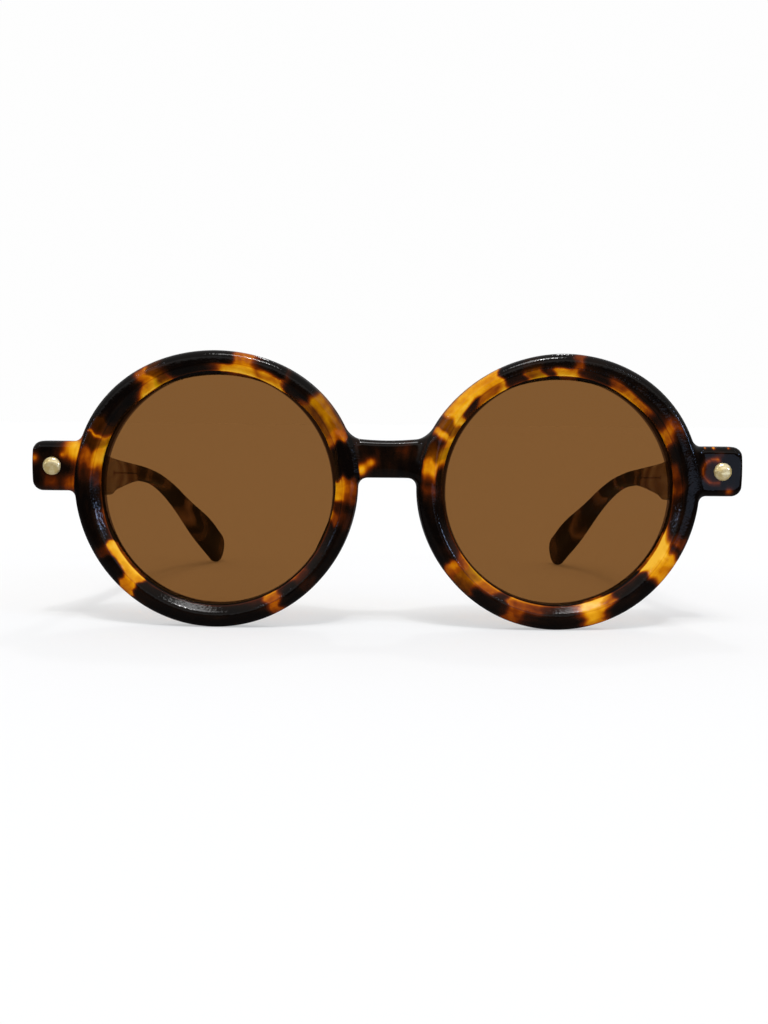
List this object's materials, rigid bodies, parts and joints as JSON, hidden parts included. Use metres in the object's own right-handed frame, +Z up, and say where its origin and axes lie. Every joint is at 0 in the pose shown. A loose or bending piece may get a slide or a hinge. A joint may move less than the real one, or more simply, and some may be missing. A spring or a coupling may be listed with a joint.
{
  "type": "round sunglasses",
  "caption": "Round tortoiseshell acetate sunglasses with curved brown lenses, riveted end pieces and folding temples on barrel hinges.",
  "frame": {"origin": "middle of the object's width and depth, on the surface that it stands on", "axes": "+X across the front to the right as seen from the front, +Y back along the temples, +Z up"},
  "size_m": [0.145, 0.1326, 0.057],
  "materials": {
    "front_acetate": "polished tortoiseshell cellulose acetate",
    "temple_acetate": "polished tortoiseshell cellulose acetate",
    "brown_lens": "tinted brown lens, hard coated",
    "pale_gold": "polished pale gold plate",
    "hinge_metal": "satin nickel silver",
    "core_wire_steel": "drawn wire"
  },
  "bodies": {
    "front": {"front_frame": "front_acetate", "lens_left": "brown_lens", "lens_right": "brown_lens", "nose_pad_left": "front_acetate", "nose_pad_right": "front_acetate", "front_rivet_left": "pale_gold", "front_rivet_right": "pale_gold", "front_hinge_leaf_left": "hinge_metal", "front_hinge_leaf_right": "hinge_metal", "hinge_screw_left": "hinge_metal", "hinge_screw_right": "hinge_metal"},
    "left_temple": {"temple_left": "temple_acetate", "temple_hinge_leaf_left": "hinge_metal", "temple_leaf_screws_left": "hinge_metal", "core_wire_left": "core_wire_steel"},
    "right_temple": {"temple_right": "temple_acetate", "temple_hinge_leaf_right": "hinge_metal", "temple_leaf_screws_right": "hinge_metal", "core_wire_right": "core_wire_steel"}
  },
  "joints": [
    {"name": "left_temple_fold", "type": "hinge", "parent": "front", "child": "left_temple", "pos_m": [-0.06172, -0.05536, 0.03245], "axis": [0, 0, -1], "range_deg": [0, 84]},
    {"name": "right_temple_fold", "type": "hinge", "parent": "front", "child": "right_temple", "pos_m": [0.06172, -0.05536, 0.03245], "axis": [0, 0, 1], "range_deg": [0, 78]}
  ]
}
